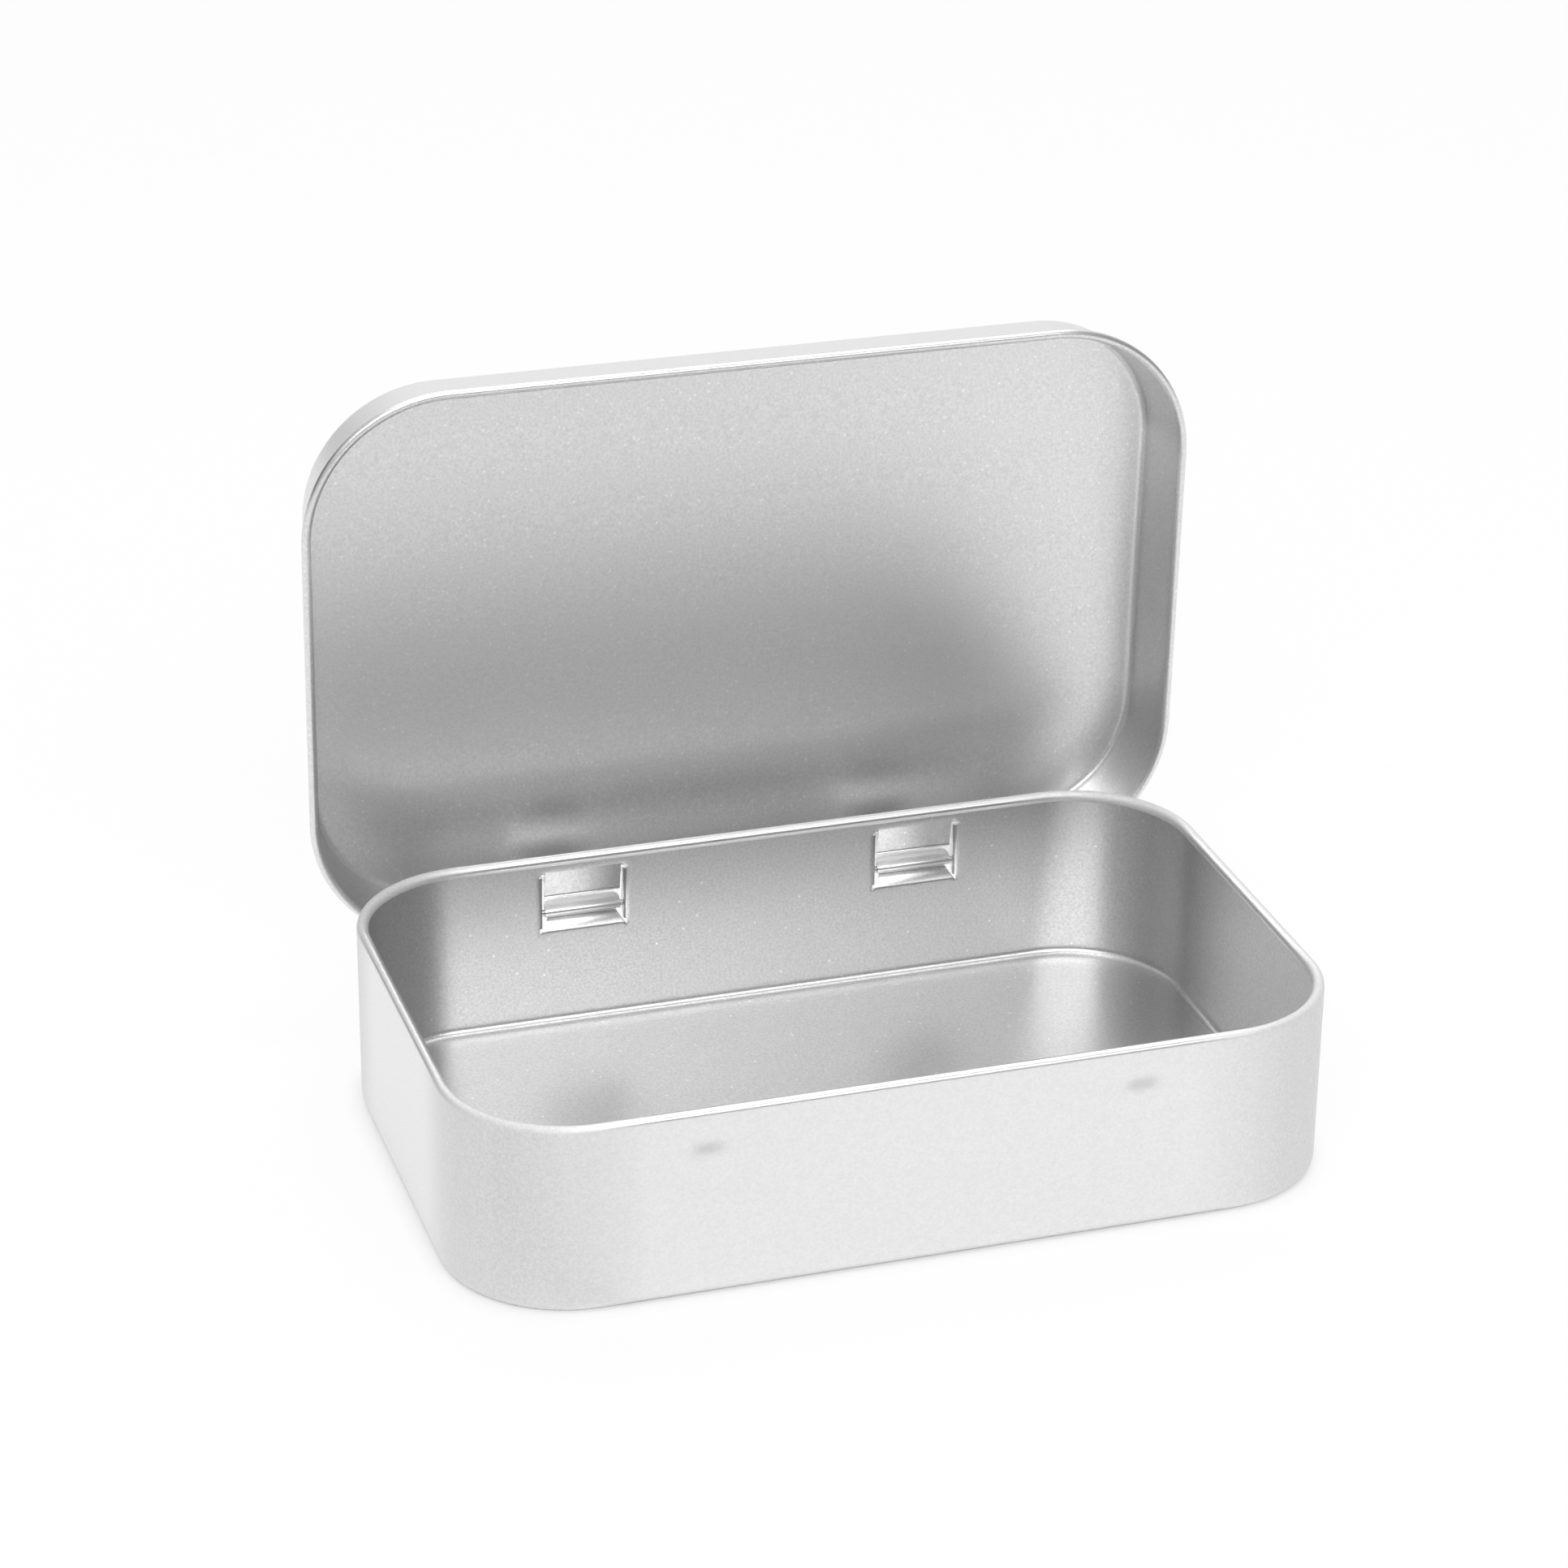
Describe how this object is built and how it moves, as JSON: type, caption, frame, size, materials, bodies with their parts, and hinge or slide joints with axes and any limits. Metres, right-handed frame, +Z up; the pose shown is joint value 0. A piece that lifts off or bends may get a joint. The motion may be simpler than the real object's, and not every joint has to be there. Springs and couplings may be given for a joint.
{
  "type": "hinged mint tin",
  "caption": "Shallow rectangular tinplate tin with rounded corners, an inward-rolled rim and a snap-shut lid that swings on two pinned tab hinges in the back wall.",
  "frame": {"origin": "centre of the tray's underside, on the surface the tin stands on", "axes": "+Z up, +X along the long side to the right seen from the front, front wall towards -Y, hinges and open lid towards +Y"},
  "size_m": [0.0954, 0.0666, 0.0736],
  "materials": {
    "tinplate": "bright tinned sheet with a fine satin grain",
    "hinge_wire": "drawn steel wire"
  },
  "bodies": {
    "tin_body": {"tin_body": "tinplate", "left_hinge_pin": "hinge_wire", "right_hinge_pin": "hinge_wire"},
    "lid": {"lid": "tinplate"}
  },
  "joints": [
    {"name": "lid_hinge", "type": "hinge", "parent": "tin_body", "child": "lid", "pos_m": [0, 0.0295, 0.01306], "axis": [1, 0, 0], "range_deg": [0, 88]}
  ]
}
